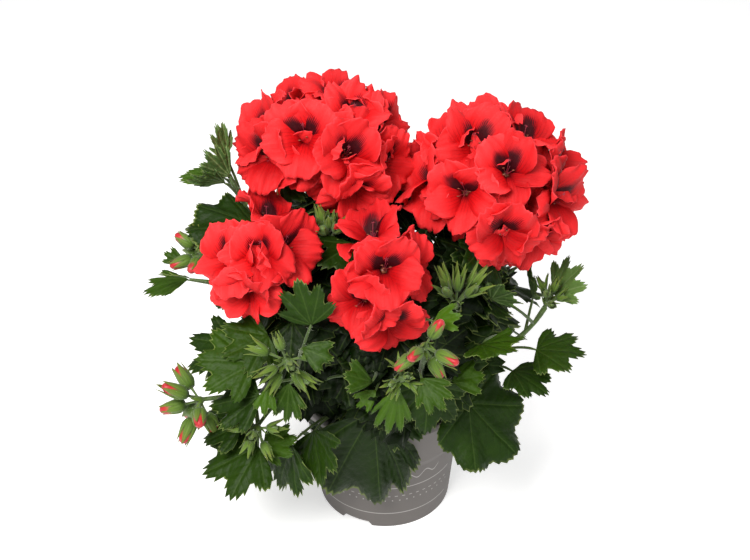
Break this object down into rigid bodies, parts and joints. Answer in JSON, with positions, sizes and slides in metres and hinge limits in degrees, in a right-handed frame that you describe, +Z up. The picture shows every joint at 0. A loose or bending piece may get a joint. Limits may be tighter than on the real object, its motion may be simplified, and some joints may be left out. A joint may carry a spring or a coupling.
{
  "type": "potted regal pelargonium",
  "caption": "Bushy regal pelargonium with ruffled red flower heads, bud clusters and cut-edged leaves, growing in a peat-filled nursery pot.",
  "frame": {"origin": "the middle of the pot's underside, on the ground plane", "axes": "+Z up along the pot's axis; -Y toward the plant's front, where the large leaf hangs over the rim; +X to the right seen from the front"},
  "size_m": [0.2815, 0.25, 0.3043],
  "materials": {
    "pot": "matt injection-moulded taupe grey",
    "peat": "damp peat, lumpy",
    "foliage": "soft hairy green, dark to bright",
    "petals": "matt satin red"
  },
  "bodies": {
    "root": {"petals_back_left_1": "petals", "petals_back_left_2": "petals", "petals_back_right_1": "petals", "petals_back_right_2": "petals", "petals_front_1": "petals", "petals_mid_left_1": "petals", "petals_right_1": "petals", "petals_right_2": "petals", "petals_top_left_1": "petals", "pot": "pot", "soil": "peat", "stem_back": "foliage", "stem_back_left": "foliage", "stem_back_right": "foliage", "stem_front": "foliage", "stem_front_left": "foliage", "stem_front_right": "foliage", "stem_low_left": "foliage", "stem_low_right": "foliage", "stem_mid_left": "foliage", "stem_right": "foliage", "stem_top_left": "foliage", "stem_upper_left": "foliage"}
  },
  "joints": []
}
